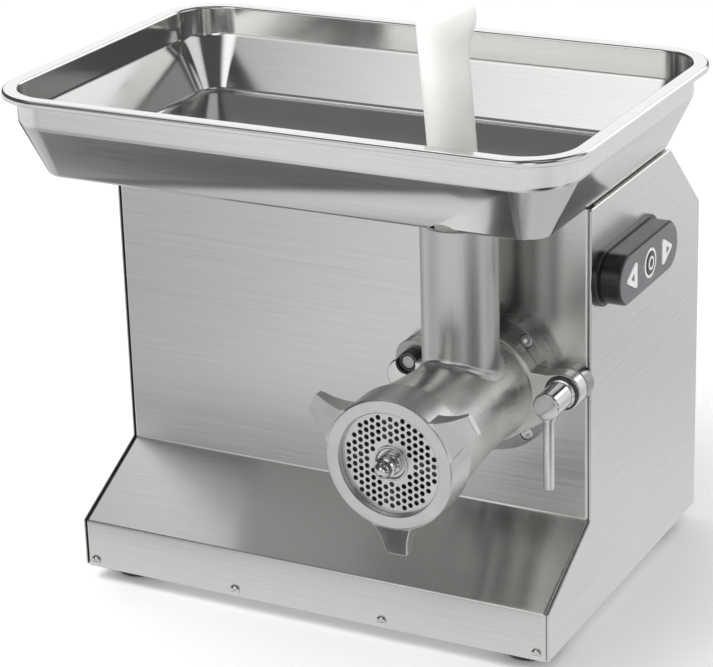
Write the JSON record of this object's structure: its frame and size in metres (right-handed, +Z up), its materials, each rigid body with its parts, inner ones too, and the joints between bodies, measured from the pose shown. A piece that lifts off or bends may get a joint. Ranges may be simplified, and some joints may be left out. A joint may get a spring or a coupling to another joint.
{
  "type": "electric meat grinder",
  "caption": "Bench-top electric meat grinder: folded stainless casing, feed tray and neck, screw barrel with ring nut and hole plate, geared motor and push-button box.",
  "frame": {"origin": "on the worktop under the rubber feet, below the middle of the overall width and depth", "axes": "+Z up, the grinding head and ring nut face -Y, the push buttons face +X"},
  "size_m": [0.474, 0.4309, 0.4927],
  "materials": {
    "stainless": "satin brushed stainless steel sheet",
    "tray_steel": "bright polished stainless steel sheet",
    "cast_steel": "satin machined stainless casting",
    "ring_steel": "fine bead-blasted stainless casting",
    "plate_steel": "ground tool steel",
    "chrome": "polished",
    "dark_steel": "dark oxide finish",
    "gear_steel": "hobbed and hardened, oiled",
    "bearing_steel": "ground",
    "cast_aluminium": "sand cast",
    "screw_steel": "zinc plated",
    "rubber": "matt moulded",
    "seal_rubber": "nitrile",
    "copper": "varnished windings and laminations",
    "bronze": "sintered bronze",
    "black_plastic": "fine moulded texture",
    "grey_plastic": "satin membrane",
    "white_plastic": "moulded",
    "button_black": "moulded",
    "milky_plastic": "milky food-grade polyethylene",
    "electrics": "moulded insulating body",
    "wire": "PVC insulation"
  },
  "bodies": {
    "casing": {"base_plate": "stainless", "front_panel": "stainless", "side_panel_left": "stainless", "side_panel_right": "stainless", "top_cover": "stainless", "rear_panel": "stainless", "apron_screws": "screw_steel", "rear_screws": "screw_steel", "feet": "rubber", "foot_screws": "screw_steel", "hub_flange": "cast_steel", "hub_bolts": "dark_steel", "locating_pin": "dark_steel", "shaft_seal": "seal_rubber", "gearbox_housing": "cast_aluminium", "gearbox_cover": "cast_aluminium", "gearbox_screws": "screw_steel", "output_bearings": "bearing_steel", "mid_bearings": "bearing_steel", "motor_bearings": "bearing_steel", "motor_housing": "cast_aluminium", "motor_stator": "copper", "motor_end_shield": "cast_aluminium", "fan_cowl": "black_plastic", "motor_cradle": "stainless", "run_capacitor": "electrics", "contactor": "electrics", "terminal_block": "electrics", "cable_gland": "black_plastic", "wiring": "wire", "switch_housing": "black_plastic", "switch_face": "grey_plastic", "switch_contacts": "electrics"},
    "motor": {"motor_shaft": "gear_steel", "motor_rotor": "gear_steel", "cooling_fan": "black_plastic"},
    "countershaft": {"mid_shaft": "gear_steel", "mid_gear": "gear_steel"},
    "drive": {"output_shaft": "gear_steel", "output_gear": "gear_steel"},
    "head": {"head_barrel": "cast_steel", "feed_neck": "cast_steel", "plate_key": "screw_steel", "auger_washer": "bronze"},
    "auger": {"auger": "cast_steel", "auger_stud": "chrome", "knife": "plate_steel"},
    "plate": {"hole_plate": "plate_steel"},
    "ring": {"ring_nut": "ring_steel"},
    "clamp": {"clamp_knob": "chrome", "clamp_lever": "chrome", "clamp_screw": "screw_steel"},
    "tray": {"tray": "tray_steel"},
    "plunger": {"plunger": "milky_plastic"},
    "start_button": {"start_button": "white_plastic"},
    "stop_button": {"stop_button": "button_black"},
    "reverse_button": {"reverse_button": "white_plastic"}
  },
  "joints": [
    {"name": "motor_spin", "type": "hinge", "parent": "casing", "child": "motor", "pos_m": [0.008, 0.095, 0.196], "axis": [0, -1, 0], "continuous": true},
    {"name": "countershaft_spin", "type": "hinge", "parent": "casing", "child": "countershaft", "pos_m": [0.056, 0.035, 0.196], "axis": [0, -1, 0], "continuous": true},
    {"name": "drive_spin", "type": "hinge", "parent": "casing", "child": "drive", "pos_m": [0.131, 0.015, 0.196], "axis": [0, -1, 0], "continuous": true},
    {"name": "head_slide", "type": "slide", "parent": "casing", "child": "head", "axis": [0, -1, 0], "range_m": [0, 0.09]},
    {"name": "auger_spin", "type": "hinge", "parent": "head", "child": "auger", "pos_m": [0.131, -0.105, 0.196], "axis": [0, -1, 0], "continuous": true},
    {"name": "plate_slide", "type": "slide", "parent": "head", "child": "plate", "axis": [0, -1, 0], "range_m": [0, 0.0092]},
    {"name": "ring_turn", "type": "hinge", "parent": "plate", "child": "ring", "pos_m": [0.131, -0.185, 0.196], "axis": [0, -1, 0], "range_deg": [0, 1080]},
    {"name": "clamp_turn", "type": "hinge", "parent": "head", "child": "clamp", "pos_m": [0.196, -0.065, 0.203], "axis": [0, -1, 0], "range_deg": [-30, 180]},
    {"name": "tray_lift", "type": "slide", "parent": "head", "child": "tray", "axis": [0, 0, 1], "range_m": [0, 0.2]},
    {"name": "plunger_lift", "type": "slide", "parent": "tray", "child": "plunger", "axis": [-0.0785, 0, 0.9969], "range_m": [0, 0.2]},
    {"name": "start_press", "type": "slide", "parent": "casing", "child": "start_button", "axis": [-1, 0, 0], "range_m": [0, 0.0025], "stiffness_N_per_m": 400},
    {"name": "stop_press", "type": "slide", "parent": "casing", "child": "stop_button", "axis": [-1, 0, 0], "range_m": [0, 0.0025], "stiffness_N_per_m": 400},
    {"name": "reverse_press", "type": "slide", "parent": "casing", "child": "reverse_button", "axis": [-1, 0, 0], "range_m": [0, 0.0025], "stiffness_N_per_m": 400}
  ],
  "couplings": [
    {"joint": "countershaft_spin", "follows": "motor_spin", "ratio": -0.33333},
    {"joint": "drive_spin", "follows": "motor_spin", "ratio": 0.083333},
    {"joint": "auger_spin", "follows": "motor_spin", "ratio": 0.083333},
    {"joint": "plate_slide", "follows": "ring_turn", "m_per_rad": 0.00047746}
  ]
}
